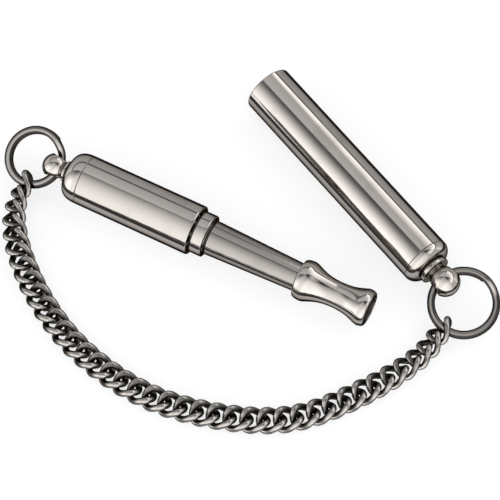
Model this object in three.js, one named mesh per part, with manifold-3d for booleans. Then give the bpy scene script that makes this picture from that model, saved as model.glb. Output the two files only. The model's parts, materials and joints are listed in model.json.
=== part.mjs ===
// Silent dog whistle with its push-on cover, joined by a curb chain and lying on a table.
// Millimetres, +Z up, the table is z = 0. A turned piece is drawn along its own +Y.
import * as THREE from 'three';
import { mergeVertices } from 'three/addons/utils/BufferGeometryUtils.js';
import loadManifold from 'manifold-3d';

// Fits
const seatGap = 0.1; // between faces that are soldered or pressed together
const fitGap = 0.12; // round a pressed or screwed-in piece, on the radius
const runGap = 0.15; // round a piece that turns or slides, on the radius

// Tube stock shared by the barrel and the cap
const tubeDiameter = 10;
const turnedFlats = 24;
const hiddenFlats = 16; // round the pieces shut up inside

// Barrel, its guide bush and the lock ring that the cap pushes onto
const barrelTubeLength = 24.2;
const barrelWall = 0.7;
const barrelEdge = 0.9;
const guideBushLength = 6.4;
const lockRingLength = 2.7;
const lockRingWall = 0.6;
const lockRingEdge = 0.5;
const lockRingGroove = 0.4; // behind the ring, and as deep as this

// Barrel knob: dome, flange and drilled ball
const barrelDomeLength = 3.6;
const barrelDomeFlat = 4.4;
const barrelBallDiameter = 5.2;
const barrelBallReach = 3.0;
const barrelFlangeDiameter = 4.2;
const barrelFlangeLength = 0.5;
const barrelSpigotLength = 4;

// Cap
const capTubeLength = 48.3;
const capWall = 0.6;
const capFit = 0.15; // on the radius, over the lock ring
const capDomeLength = 2;
const capDomeFlat = 6;
const capBallDiameter = 5.9;
const capBallReach = 3.9;
const capFlangeDiameter = 6.2;
const capFlangeLength = 0.8;
const capSpigotLength = 3;

// Shared by both knobs
const knobGroove = 0.35;
const knobGrooveDepth = 0.5;
const knobNeckShare = 0.63; // neck radius over ball radius
const ringHoleDiameter = 3.2;
const ringHoleShift = 0.5; // from the ball's middle towards the tube

// Tuning stem
const stemTailRoom = 0.5; // between the barrel knob's spigot and the screwed-in stem
const stemRootStep = 0.04; // the taper starts this much under the thread, on the radius
const stemTipDiameter = 5.7;
const stemTaperLength = 19;
const reliefLength = 0.5; // groove where the thread runs out
const reliefDepth = 0.5;
const stemBoreDiameter = 4.1;
const stemSpigotDiameter = 5.2;
const stemSpigotLength = 4;
const glandDiameter = 5.2;
const glandNutLength = 1;
const packingLength = 1.6;

// Sound window and windway, on the side that lies on the table
const windowLength = 1.6;
const windowWidth = 2.6;
const windowFromTip = 1.7;
const rampLength = 2.8;
const windwayDepth = 0.7;
const windwayPlugLength = 5.3;

// Piston
const pistonRodDiameter = 2;
const pistonHeadLength = 2;
const pistonSealLength = 1.5;
const pistonCollarLength = 0.8;
const pistonSealCore = 2.5;
const soundLength = 6.7; // from the windway plug to the piston, screwed right in
const rodSocketDepth = 3.2;

// Mouthpiece
const mouthLength = 14.9;
const mouthCapClearance = 0.35; // round the shoulder in the cap, on the radius
const mouthShoulderAt = 1.67;
const mouthShoulderEase = 1.2; // how straight the sweep leaves the shoulder
const mouthBackDiameter = 7;
const mouthWaistDiameter = 5.2;
const mouthWaistAt = 7.9;
const mouthWaistEase = 3.8; // how straight it runs on each side of the waist
const mouthLipDiameter = 7.4;
const mouthLipLength = 1.2;
const mouthLipEase = 1.1;
const mouthEndDiameter = 6.3;
const mouthCupDiameter = 5.6;
const mouthCupDepth = 2.4;
const mouthBoreDiameter = 3.8;
const mouthBushLength = 1.3;
const mouthBushBore = 2.4;

// Split rings
const whistleRingDiameter = 12.2;
const capRingDiameter = 13.9;
const ringBand = 1.5; // wire width, along the ring's radius
const ringWireHeight = 0.6;
const ringTurnGap = 0.43;
const ringLapAngle = THREE.MathUtils.degToRad(40);
const ringEndGapAngle = THREE.MathUtils.degToRad(8);
const ringStepsPerTurn = 24;

// Curb chain
const linkCount = 38; // between the two split rings; the route's length sets their pitch
const linkWire = 1.25;
const linkWidth = 5.1;
const linkRise = 1.05; // half the height between the two crossing wires
const linkSlack = 0.26; // between the bows of neighbouring links
const linkSteps = 14;
const linkSides = 6;
const endLinkStretch = 0.3; // an end link is this much longer, to hold its split ring
const ringPlay = 0.43; // between a split ring and the bow of its end link
const firstLinkRoll = THREE.MathUtils.degToRad(66);
const lastLinkRoll = THREE.MathUtils.degToRad(54);
const linkRollStep = THREE.MathUtils.degToRad(9);

// Where the pieces lie, seen from above
const whistleBallAt = new THREE.Vector2(-19.9, 35.5);
const whistleHeading = THREE.MathUtils.degToRad(-65.4);
const whistleRingRoll = THREE.MathUtils.degToRad(24);
const whistleRingGrip = THREE.MathUtils.degToRad(94);
const whistleRingEnd = THREE.MathUtils.degToRad(-120);
const capBallAt = new THREE.Vector2(23.3, -30.2);
const capHeading = THREE.MathUtils.degToRad(-90);
const capRingRoll = THREE.MathUtils.degToRad(12);
const capRingGrip = THREE.MathUtils.degToRad(79);
const capRingEnd = THREE.MathUtils.degToRad(100);
const chainRoute = [
  [-31.3, 33.6],
  [-35.2, 27.4],
  [-38.5, 15.6],
  [-39.0, 2.2],
  [-35.0, -12.7],
  [-26.9, -24.7],
  [-16.5, -33.5],
  [-3.1, -37.4],
  [10.1, -38.6],
];

// Sizes that follow from the ones above
const tubeRadius = tubeDiameter / 2;
const lieHeight = tubeRadius * Math.cos(Math.PI / turnedFlats);
const barrelBore = tubeRadius - barrelWall;
const capBore = tubeRadius - capWall;
const lockRingRadius = capBore - capFit;
const guideBore = lockRingRadius - lockRingWall;
const stemTailRadius = guideBore - runGap;
const stemRootRadius = stemTailRadius - stemRootStep;
const stemBore = stemBoreDiameter / 2;
const glandBore = glandDiameter / 2;
const rodRadius = pistonRodDiameter / 2;
const whistleRingRadius = (whistleRingDiameter - ringBand) / 2;
const capRingRadius = (capRingDiameter - ringBand) / 2;
const ringHalfHeight = ringWireHeight + ringTurnGap / 2;
const tailStart = barrelSpigotLength + stemTailRoom;
const taperStart = barrelTubeLength + seatGap + lockRingLength + seatGap;
const stemShoulder = taperStart + stemTaperLength;
const mouthStart = stemShoulder + seatGap;
const mouthCupFloor = mouthStart + mouthLength - mouthCupDepth;
const plugStart = stemShoulder - windowFromTip;
const pistonFace = plugStart - soundLength;

const wasm = await loadManifold();
wasm.setup();

const nickel = { color: 0xc9c4bb, roughness: 0.12, metalness: 1 };
const brass = { color: 0xb89a5a, roughness: 0.35, metalness: 1 };
const darkNickel = { color: 0x8f8a84, roughness: 0.25, metalness: 1 };
const leather = { color: 0x6a4a30, roughness: 0.8, metalness: 0 };
const felt = { color: 0x8c8578, roughness: 0.95, metalness: 0 };

function namedMesh(name, geometry, finish) {
  const mesh = new THREE.Mesh(geometry, new THREE.MeshStandardMaterial(finish));
  mesh.name = name;
  return mesh;
}

// An elliptical arc of a turned profile, as points (radius, height).
function arc(centreR, centreY, radiusR, radiusY, fromDegrees, toDegrees, steps = 6) {
  const points = [];
  for (let i = 0; i <= steps; i += 1) {
    const angle = THREE.MathUtils.degToRad(THREE.MathUtils.lerp(fromDegrees, toDegrees, i / steps));
    points.push([centreR + radiusR * Math.cos(angle), centreY + radiusY * Math.sin(angle)]);
  }
  return points;
}

// Turns a profile round +Y, with one flat straight up and one straight down.
function turned(profile, flats = turnedFlats) {
  const points = profile.map(([radius, height]) => new THREE.Vector2(radius, height));
  return new THREE.LatheGeometry(points, flats, Math.PI / flats);
}

function tube(innerRadius, outerRadius, from, to, flats = hiddenFlats) {
  return turned([
    [innerRadius, from],
    [outerRadius, from],
    [outerRadius, to],
    [innerRadius, to],
    [innerRadius, from],
  ], flats);
}

function toSolid(geometry) {
  const bare = geometry.clone();
  bare.deleteAttribute('normal');
  bare.deleteAttribute('uv');
  const merged = mergeVertices(bare, 1e-4);
  const corners = Array.from(merged.index.array);
  const kept = [];
  for (let i = 0; i < corners.length; i += 3) {
    const [a, b, c] = corners.slice(i, i + 3);
    if (a !== b && b !== c && c !== a) kept.push(a, b, c);
  }
  return new wasm.Manifold(new wasm.Mesh({
    numProp: 3,
    vertProperties: new Float32Array(merged.attributes.position.array),
    triVerts: new Uint32Array(kept),
  }));
}

function cut(geometry, cutter) {
  const { vertProperties, triVerts } = toSolid(geometry).subtract(toSolid(cutter)).getMesh();
  const result = new THREE.BufferGeometry();
  result.setAttribute('position', new THREE.Float32BufferAttribute(vertProperties, 3));
  result.setIndex(new THREE.Uint32BufferAttribute(triVerts, 1));
  return result;
}

// Joins a row of sections into one skin; a closed row runs back into its first section.
function skin(sections, closed) {
  const sides = sections[0].length;
  const rows = sections.length;
  const positions = sections.flat().flatMap((point) => point.toArray());
  const faces = [];
  for (let i = 0; i < (closed ? rows : rows - 1); i += 1) {
    for (let j = 0; j < sides; j += 1) {
      const a = i * sides + j;
      const b = i * sides + (j + 1) % sides;
      const c = ((i + 1) % rows) * sides + j;
      const d = ((i + 1) % rows) * sides + (j + 1) % sides;
      faces.push(a, b, d, a, d, c);
    }
  }
  if (!closed) {
    const last = (rows - 1) * sides;
    for (let j = 1; j < sides - 1; j += 1) {
      faces.push(0, j + 1, j, last, last + j, last + j + 1);
    }
  }
  const geometry = new THREE.BufferGeometry();
  geometry.setAttribute('position', new THREE.Float32BufferAttribute(positions, 3));
  geometry.setIndex(faces);
  return geometry;
}

// A knob closes a tube: its spigot goes in at -Y, its dome starts at 0 and its ball points to +Y.
function knob(size) {
  const ballRadius = size.ballDiameter / 2;
  const neck = ballRadius * knobNeckShare;
  const flangeRadius = size.flangeDiameter / 2;
  const flat = size.domeFlat / 2;
  const face = size.domeLength;
  const ballAt = face + size.ballReach;
  const neckDegrees = THREE.MathUtils.radToDeg(Math.acos(knobNeckShare));
  const profile = [
    [0, -size.spigotLength],
    [size.spigotRadius, -size.spigotLength],
    [size.spigotRadius, 0],
    ...arc(flat, 0, tubeRadius - flat, face, 0, 90, 5),
    [flangeRadius - knobGrooveDepth, face],
    [flangeRadius - knobGrooveDepth, face + knobGroove],
    [flangeRadius, face + knobGroove],
    [flangeRadius, face + knobGroove + size.flangeLength],
    [neck, face + knobGroove + size.flangeLength],
    ...arc(0, ballAt, ballRadius, ballRadius, -neckDegrees, 90, 7),
  ];
  profile[profile.length - 1][0] = 0;
  if (size.socketRadius) {
    profile.splice(0, 1, [0, -size.spigotLength + rodSocketDepth],
      [size.socketRadius, -size.spigotLength + rodSocketDepth], [size.socketRadius, -size.spigotLength]);
  }
  const hole = new THREE.CylinderGeometry(ringHoleDiameter / 2, ringHoleDiameter / 2, size.ballDiameter * 2, 16);
  hole.rotateZ(Math.PI / 2);
  hole.rotateY(size.holeRoll);
  hole.translate(0, ballAt - ringHoleShift, 0);
  return cut(turned(profile), hole);
}

function barrelTube() {
  return turned([
    [barrelBore, seatGap],
    [tubeRadius, seatGap],
    ...arc(tubeRadius - barrelEdge, barrelTubeLength - barrelEdge, barrelEdge, barrelEdge, 0, 90, 3),
    [barrelBore, barrelTubeLength],
    [barrelBore, seatGap],
  ]);
}

function lockRing() {
  const back = barrelTubeLength + seatGap;
  const front = back + lockRingLength;
  const neck = lockRingRadius - lockRingGroove;
  const shoulder = back + lockRingGroove;
  return turned([
    [guideBore, back],
    [neck, back],
    [neck, shoulder],
    ...arc(lockRingRadius - lockRingEdge / 2, shoulder + lockRingEdge / 2, lockRingEdge / 2, lockRingEdge / 2, -90, 0, 2),
    ...arc(lockRingRadius - lockRingEdge, front - lockRingEdge, lockRingEdge, lockRingEdge, 0, 90, 3),
    [guideBore, front],
    [guideBore, back],
  ]);
}

// The stem's tail screws into the barrel, its taper shows, and its spigot holds the mouthpiece.
function stemTube() {
  const glandFloor = tailStart + glandNutLength + packingLength + 3 * seatGap;
  const spigot = stemSpigotDiameter / 2;
  const end = stemShoulder + stemSpigotLength;
  const body = turned([
    [glandBore, tailStart],
    [stemTailRadius, tailStart],
    [stemTailRadius, taperStart],
    [stemTailRadius - reliefDepth, taperStart],
    [stemTailRadius - reliefDepth, taperStart + reliefLength],
    [stemRootRadius, taperStart + reliefLength],
    [stemTipDiameter / 2, stemShoulder],
    [spigot, stemShoulder],
    [spigot, end],
    [stemBore, end],
    [stemBore, glandFloor],
    [glandBore, glandFloor],
    [glandBore, tailStart],
  ]);
  const lip = plugStart - windowLength;
  const outside = stemTailRadius;
  const opening = new THREE.Shape();
  opening.moveTo(plugStart, 0);
  opening.lineTo(plugStart, outside);
  opening.lineTo(lip - rampLength, outside);
  opening.lineTo(lip, stemBore);
  opening.lineTo(lip, 0);
  opening.closePath();
  const cutter = new THREE.ExtrudeGeometry(opening, { depth: windowWidth, bevelEnabled: false });
  cutter.translate(0, 0, -windowWidth / 2);
  cutter.applyMatrix4(new THREE.Matrix4().makeBasis(
    new THREE.Vector3(0, 1, 0), new THREE.Vector3(0, 0, -1), new THREE.Vector3(-1, 0, 0)));
  return cut(body, cutter);
}

// A plug with one flat side: the air passes between the flat and the stem's bore.
function windwayPlug() {
  const radius = stemBore - fitGap;
  const flatAt = stemBore - windwayDepth;
  const half = Math.acos(flatAt / radius);
  const section = new THREE.Shape();
  section.absarc(0, 0, radius, Math.PI / 2 + half, Math.PI / 2 - half + 2 * Math.PI, false);
  section.closePath();
  const geometry = new THREE.ExtrudeGeometry(section, {
    depth: windwayPlugLength, bevelEnabled: false, curveSegments: turnedFlats,
  });
  geometry.rotateX(-Math.PI / 2);
  geometry.translate(0, plugStart, 0);
  return geometry;
}

function pistonRod() {
  const head = stemBore - runGap - fitGap;
  const core = pistonSealCore / 2;
  const sealEnd = pistonFace - pistonHeadLength;
  const sealStart = sealEnd - pistonSealLength;
  const collarStart = sealStart - pistonCollarLength;
  const tail = barrelSpigotLength - rodSocketDepth + seatGap;
  return turned([
    [0, tail],
    [rodRadius, tail],
    [rodRadius, collarStart],
    [head, collarStart],
    [head, sealStart],
    [core, sealStart],
    [core, sealEnd],
    [head, sealEnd],
    [head, pistonFace],
    [0, pistonFace],
  ], hiddenFlats);
}

function pistonSeal() {
  const end = pistonFace - pistonHeadLength;
  return tube(pistonSealCore / 2 + fitGap, stemBore - runGap, end - pistonSealLength + seatGap, end - seatGap);
}

// Shoulder bead, waist, trumpet flare, rounded lip and a cup at the end of the bore.
function mouthpiece() {
  const shoulder = capBore - mouthCapClearance;
  const waist = mouthWaistDiameter / 2;
  const lip = mouthLipDiameter / 2;
  const end = mouthEndDiameter / 2;
  const lipAt = mouthLength - mouthLipLength;
  const cup = mouthCupDiameter / 2;
  const cupFloor = mouthLength - mouthCupDepth;
  const bore = mouthBoreDiameter / 2;
  const socket = stemSpigotDiameter / 2 + fitGap;
  const back = mouthBackDiameter / 2;
  const socketEnd = stemSpigotLength + seatGap;
  const sweepIn = new THREE.CubicBezierCurve(
    new THREE.Vector2(shoulder, mouthShoulderAt),
    new THREE.Vector2(shoulder, mouthShoulderAt + mouthShoulderEase),
    new THREE.Vector2(waist, mouthWaistAt - mouthWaistEase),
    new THREE.Vector2(waist, mouthWaistAt));
  const sweepOut = new THREE.CubicBezierCurve(
    new THREE.Vector2(waist, mouthWaistAt),
    new THREE.Vector2(waist, mouthWaistAt + mouthWaistEase),
    new THREE.Vector2(lip, lipAt - mouthLipEase),
    new THREE.Vector2(lip, lipAt));
  const profile = [
    [socket, 0],
    [back, 0],
    ...arc(back, mouthShoulderAt, shoulder - back, mouthShoulderAt, -60, 0, 3),
    ...sweepIn.getPoints(6).slice(1).map((point) => point.toArray()),
    ...sweepOut.getPoints(6).slice(1).map((point) => point.toArray()),
    ...arc(end, lipAt, lip - end, mouthLipLength, 0, 90, 4).slice(1),
    [cup, mouthLength],
    [cup, cupFloor],
    [bore, cupFloor],
    [bore, socketEnd],
    [socket, socketEnd],
    [socket, 0],
  ];
  return turned(profile.map(([radius, height]) => [radius, height + mouthStart]));
}

// Two turns of flat wire that change layers at one lap, as on a key ring.
function splitRing(ringRadius, startAngle) {
  const sweep = 4 * Math.PI - ringLapAngle - ringEndGapAngle;
  const steps = Math.round(sweep / (2 * Math.PI) * ringStepsPerTurn);
  const layer = ringWireHeight + ringTurnGap;
  const half = ringBand / 2;
  const halfHeight = ringWireHeight / 2;
  const outline = [
    [half, -halfHeight / 2], [half, halfHeight / 2], [half / 2, halfHeight], [-half / 2, halfHeight],
    [-half, halfHeight / 2], [-half, -halfHeight / 2], [-half / 2, -halfHeight], [half / 2, -halfHeight],
  ];
  const sections = [];
  for (let i = 0; i <= steps; i += 1) {
    const travelled = sweep * i / steps;
    const climb = THREE.MathUtils.smoothstep(travelled, 2 * Math.PI - ringLapAngle, 2 * Math.PI);
    const angle = startAngle + travelled;
    sections.push(outline.map(([across, up]) => new THREE.Vector3(
      (ringRadius + across) * Math.cos(angle),
      (ringRadius + across) * Math.sin(angle),
      layer * (climb - 0.5) + up)));
  }
  return skin(sections.map((section) => section.toReversed()), false);
}

// The least gap between a split ring's turns, measured between points a turn apart.
function leastTurnGap() {
  let least = Infinity;
  const layer = ringWireHeight + ringTurnGap;
  const climbAt = (travelled) => layer * THREE.MathUtils.smoothstep(
    travelled, 2 * Math.PI - ringLapAngle, 2 * Math.PI);
  const sweep = 4 * Math.PI - ringLapAngle - ringEndGapAngle;
  for (let travelled = 0; travelled <= sweep - 2 * Math.PI; travelled += 0.05) {
    least = Math.min(least, climbAt(travelled + 2 * Math.PI) - climbAt(travelled) - ringWireHeight);
  }
  return least;
}

// The middle line of a curb link: an oval whose two bows lean opposite ways, so that links lie flat.
function linkPoint(angle, halfLength) {
  const halfWidth = (linkWidth - linkWire) / 2;
  return new THREE.Vector3(
    halfLength * Math.cos(angle),
    halfWidth * Math.sin(angle),
    -linkRise * Math.sin(2 * angle));
}

function curbLink(halfLength) {
  const sections = [];
  for (let i = 0; i < linkSteps; i += 1) {
    const angle = 2 * Math.PI * i / linkSteps;
    const nudge = 1e-3;
    const centre = linkPoint(angle, halfLength);
    const along = linkPoint(angle + nudge, halfLength).sub(linkPoint(angle - nudge, halfLength)).normalize();
    const outward = new THREE.Vector3(centre.x, centre.y, 0).normalize();
    outward.addScaledVector(along, -outward.dot(along)).normalize();
    const across = new THREE.Vector3().crossVectors(along, outward);
    sections.push(Array.from({ length: linkSides }, (_, side) => {
      const turn = 2 * Math.PI * side / linkSides;
      return centre.clone()
        .addScaledVector(outward, linkWire / 2 * Math.cos(turn))
        .addScaledVector(across, linkWire / 2 * Math.sin(turn));
    }));
  }
  return skin(sections, true);
}

// How far a link rolled about its length reaches below its middle.
function linkReach(roll, halfLength) {
  let reach = 0;
  for (let i = 0; i < 72; i += 1) {
    const point = linkPoint(2 * Math.PI * i / 72, halfLength);
    reach = Math.max(reach, -point.y * Math.sin(roll) - point.z * Math.cos(roll));
  }
  return reach + linkWire / 2;
}

// Hangs a split ring in a knob's hole so that it rests on the end link, which lies on the table.
function placeRing(ring, ringRadius, ballDiameter, ballAt, outward, roll) {
  const hole = new THREE.Vector3(Math.cos(roll), 0, -Math.sin(roll));
  const down = new THREE.Vector3(-Math.sin(roll), 0, -Math.cos(roll));
  const wireRest = linkWire + seatGap + ringHalfHeight * Math.cos(roll) + ringBand / 2 * Math.sin(roll);
  const drop = (lieHeight - wireRest) / ringRadius;
  const dip = (drop * drop - hole.z * hole.z) / (2 * drop);
  const slope = Math.asin(dip / Math.cos(roll));
  const away = new THREE.Vector3(0, outward, 0).multiplyScalar(Math.cos(slope))
    .addScaledVector(down, Math.sin(slope));
  const normal = new THREE.Vector3().crossVectors(away, hole).multiplyScalar(-outward);
  const side = new THREE.Vector3().crossVectors(normal, away);
  const halfHole = Math.sqrt((ballDiameter / 2) ** 2 - (ringHoleDiameter / 2) ** 2);
  const sagitta = ringRadius - Math.sqrt(ringRadius ** 2 - halfHole ** 2);
  const middle = new THREE.Vector3(0, ballAt - outward * ringHoleShift, 0)
    .addScaledVector(away, ringRadius - sagitta / 2);
  ring.matrixAutoUpdate = false;
  ring.matrix.makeBasis(away, side, normal).setPosition(middle);
  return { middle, away, hole, ringRadius };
}

// Where the end link grips its ring, in the ring's parent.
function gripPoint({ middle, away, hole, ringRadius }, angle) {
  return middle.clone()
    .addScaledVector(away, ringRadius * Math.cos(angle))
    .addScaledVector(hole, ringRadius * Math.sin(angle));
}

function layDown(group, heading, ballAt, ballHeight) {
  group.rotation.z = heading - Math.PI / 2;
  group.position.set(
    ballAt.x - ballHeight * Math.cos(heading),
    ballAt.y - ballHeight * Math.sin(heading),
    lieHeight);
  group.updateMatrixWorld(true);
}

// Whistle
const whistle = new THREE.Group();
const barrelKnob = namedMesh('barrel_end_knob', knob({
  ballDiameter: barrelBallDiameter,
  ballReach: barrelBallReach,
  domeLength: barrelDomeLength,
  domeFlat: barrelDomeFlat,
  flangeDiameter: barrelFlangeDiameter,
  flangeLength: barrelFlangeLength,
  spigotLength: barrelSpigotLength,
  spigotRadius: barrelBore - fitGap,
  socketRadius: rodRadius + fitGap,
  holeRoll: -whistleRingRoll,
}), nickel);
barrelKnob.rotation.x = Math.PI;
const glandStart = tailStart + seatGap;
const packingStart = glandStart + glandNutLength + seatGap;
whistle.add(
  barrelKnob,
  namedMesh('barrel_tube', barrelTube(), nickel),
  namedMesh('guide_bush', tube(guideBore, barrelBore - fitGap,
    barrelTubeLength - barrelEdge - guideBushLength, barrelTubeLength - barrelEdge), brass),
  namedMesh('lock_ring', lockRing(), nickel),
  namedMesh('stem_tube', stemTube(), nickel),
  namedMesh('gland_nut', tube(rodRadius + runGap, glandBore - fitGap, glandStart, glandStart + glandNutLength), brass),
  namedMesh('rod_packing', tube(rodRadius + fitGap, glandBore - runGap, packingStart, packingStart + packingLength), felt),
  namedMesh('piston_rod', pistonRod(), brass),
  namedMesh('piston_seal', pistonSeal(), leather),
  namedMesh('windway_plug', windwayPlug(), brass),
  namedMesh('mouthpiece', mouthpiece(), nickel),
  namedMesh('mouth_bush', tube(mouthBushBore / 2, mouthCupDiameter / 2 - fitGap,
    mouthCupFloor + seatGap, mouthCupFloor + seatGap + mouthBushLength), darkNickel),
);
const barrelBallAt = -(barrelDomeLength + barrelBallReach);
const whistleRing = namedMesh('whistle_split_ring', splitRing(whistleRingRadius, whistleRingEnd), nickel);
const whistleRingPlace = placeRing(
  whistleRing, whistleRingRadius, barrelBallDiameter, barrelBallAt, -1, whistleRingRoll);
whistle.add(whistleRing);
layDown(whistle, whistleHeading, whistleBallAt, barrelBallAt);

// Cap
const cap = new THREE.Group();
const capKnob = namedMesh('cap_end_knob', knob({
  ballDiameter: capBallDiameter,
  ballReach: capBallReach,
  domeLength: capDomeLength,
  domeFlat: capDomeFlat,
  flangeDiameter: capFlangeDiameter,
  flangeLength: capFlangeLength,
  spigotLength: capSpigotLength,
  spigotRadius: capBore - fitGap,
  holeRoll: capRingRoll,
}), nickel);
capKnob.position.y = capTubeLength;
const capBallHeight = capTubeLength + capDomeLength + capBallReach;
const capRing = namedMesh('cap_split_ring', splitRing(capRingRadius, capRingEnd), nickel);
const capRingPlace = placeRing(capRing, capRingRadius, capBallDiameter, capBallHeight, 1, capRingRoll);
cap.add(
  namedMesh('cap_tube', tube(capBore, tubeRadius, 0, capTubeLength - seatGap, turnedFlats), nickel),
  capKnob,
  capRing,
);
layDown(cap, capHeading, capBallAt, capBallHeight);

// Chain
const chain = new THREE.Group();
const firstGrip = whistle.localToWorld(gripPoint(whistleRingPlace, whistleRingGrip));
const lastGrip = cap.localToWorld(gripPoint(capRingPlace, capRingGrip));
const restHeight = linkRise + linkWire / 2;
const routePoints = chainRoute.map(([x, y]) => new THREE.Vector3(x, y, restHeight));
const ringInset = ringBand / 2 + ringPlay - linkSlack / 2 - endLinkStretch;
const firstPull = routePoints[0].clone().sub(firstGrip).setZ(0).normalize();
const lastPull = routePoints.at(-1).clone().sub(lastGrip).setZ(0).normalize();
const route = new THREE.CatmullRomCurve3([
  firstGrip.clone().addScaledVector(firstPull, -ringInset),
  ...routePoints,
  lastGrip.clone().addScaledVector(lastPull, -ringInset),
]);
const hinges = route.getSpacedPoints(linkCount);
const linkPitch = route.getLength() / linkCount;
const halfLength = (linkPitch + linkWire + linkSlack) / 2;
const rolls = hinges.slice(1).map((_, i) => (
  Math.max(0, firstLinkRoll - linkRollStep * i) - Math.max(0, lastLinkRoll - linkRollStep * (linkCount - 1 - i))));
hinges.forEach((hinge, i) => {
  const before = rolls[Math.max(0, i - 1)];
  const after = rolls[Math.min(linkCount - 1, i)];
  hinge.z = (linkReach(before, halfLength) + linkReach(after, halfLength)) / 2;
});
const linkGeometry = curbLink(halfLength);
const endLinkGeometry = curbLink(halfLength + endLinkStretch / 2);
for (let i = 0; i < linkCount; i += 1) {
  const ringward = Number(i === linkCount - 1) - Number(i === 0);
  const link = namedMesh(
    `chain_link_${String(i + 1).padStart(2, '0')}`, ringward ? endLinkGeometry : linkGeometry, darkNickel);
  const along = hinges[i + 1].clone().sub(hinges[i]).normalize();
  const across = new THREE.Vector3().crossVectors(new THREE.Vector3(0, 0, 1), along).normalize();
  const up = new THREE.Vector3().crossVectors(along, across);
  link.matrixAutoUpdate = false;
  link.matrix.makeBasis(along, across, up)
    .multiply(new THREE.Matrix4().makeRotationX(rolls[i]))
    .setPosition(hinges[i].clone().add(hinges[i + 1]).multiplyScalar(0.5)
      .addScaledVector(along, ringward * endLinkStretch / 2));
  chain.add(link);
}

// The origin is the middle of the footprint, on the table.
const assembly = new THREE.Group();
assembly.add(whistle, cap, chain);
assembly.updateMatrixWorld(true);
const box = new THREE.Box3().setFromObject(assembly, true);
assembly.position.set(-(box.min.x + box.max.x) / 2, -(box.min.y + box.max.y) / 2, -box.min.z);
console.log(`${linkCount} links, pitch ${linkPitch.toFixed(3)} mm, split ring gap ${leastTurnGap().toFixed(3)} mm`);

export default assembly;
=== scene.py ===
import json
import math

import bmesh
import bpy
from mathutils import Matrix, Vector


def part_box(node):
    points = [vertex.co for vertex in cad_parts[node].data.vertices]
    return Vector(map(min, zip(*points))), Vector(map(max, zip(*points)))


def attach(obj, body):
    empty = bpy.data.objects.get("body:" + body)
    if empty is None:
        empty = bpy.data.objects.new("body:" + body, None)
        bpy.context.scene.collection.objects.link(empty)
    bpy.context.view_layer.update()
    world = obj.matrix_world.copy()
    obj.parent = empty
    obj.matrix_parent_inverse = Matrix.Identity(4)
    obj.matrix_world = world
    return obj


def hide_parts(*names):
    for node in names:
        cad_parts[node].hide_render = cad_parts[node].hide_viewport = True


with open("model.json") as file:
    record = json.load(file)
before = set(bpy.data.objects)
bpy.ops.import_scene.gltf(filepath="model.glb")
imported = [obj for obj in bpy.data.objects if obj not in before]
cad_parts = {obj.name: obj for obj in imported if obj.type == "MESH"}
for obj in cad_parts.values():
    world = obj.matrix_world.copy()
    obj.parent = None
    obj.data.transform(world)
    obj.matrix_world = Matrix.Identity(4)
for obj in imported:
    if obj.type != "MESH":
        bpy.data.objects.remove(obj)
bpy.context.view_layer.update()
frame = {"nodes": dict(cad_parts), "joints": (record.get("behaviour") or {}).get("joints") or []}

mm = 0.001
joints = {joint["name"]: joint for joint in frame["joints"]}
print("frame loaded with", len(frame["nodes"]), "nodes")


# Camera: high over the table, a long lens far away
cameraView = {
    "target": (5.707 * mm, -1.699 * mm, 0.0),
    "turn": -38.1,
    "elevation": 62.0,
    "distance": 0.6,
    "lens": 224.6,
    "clip": (0.01, 20.0),
}


def setCamera(view):
    turn, lift = math.radians(view["turn"]), math.radians(view["elevation"])
    back = Vector((math.sin(turn) * math.cos(lift), -math.cos(turn) * math.cos(lift), math.sin(lift)))
    data = bpy.data.cameras.new("tableCamera")
    data.lens = view["lens"]
    data.clip_start, data.clip_end = view["clip"]
    camera = bpy.data.objects.new("tableCamera", data)
    camera.location = Vector(view["target"]) + back * view["distance"]
    camera.rotation_euler = (-back).to_track_quat("-Z", "Y").to_euler()
    bpy.context.scene.collection.objects.link(camera)
    bpy.context.scene.camera = camera


setCamera(cameraView)
bpy.context.scene.view_settings.view_transform = "Standard"


# Nodes: a Wire is a socket that can be used in sums, a Sheet adds nodes to a tree

class Wire:
    def __init__(self, sheet, socket):
        self.sheet, self.socket = sheet, socket

    def join(self, operation, left, right):
        node = self.sheet.add("ShaderNodeMath", {"operation": operation}, {0: left, 1: right})
        return Wire(self.sheet, node.outputs[0])

    def __add__(self, other):
        return self.join("ADD", self, other)

    def __radd__(self, other):
        return self.join("ADD", other, self)

    def __sub__(self, other):
        return self.join("SUBTRACT", self, other)

    def __rsub__(self, other):
        return self.join("SUBTRACT", other, self)

    def __mul__(self, other):
        return self.join("MULTIPLY", self, other)

    def __rmul__(self, other):
        return self.join("MULTIPLY", other, self)

    def __truediv__(self, other):
        return self.join("DIVIDE", self, other)

    def __rtruediv__(self, other):
        return self.join("DIVIDE", other, self)

    def __pow__(self, other):
        return self.join("POWER", self, other)

    def __rpow__(self, other):
        return self.join("POWER", other, self)

    def __abs__(self):
        return self.join("ABSOLUTE", self, 0.0)

    def sine(self):
        return self.join("SINE", self, 0.0)

    def cosine(self):
        return self.join("COSINE", self, 0.0)

    def atLeast(self, other):
        return self.join("MAXIMUM", self, other)

    def step(self, low, high):
        return self.sheet.wire(
            "ShaderNodeMapRange", "Result",
            {"interpolation_type": "SMOOTHSTEP"},
            {"Value": self, "From Min": low, "From Max": high},
        )


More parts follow.
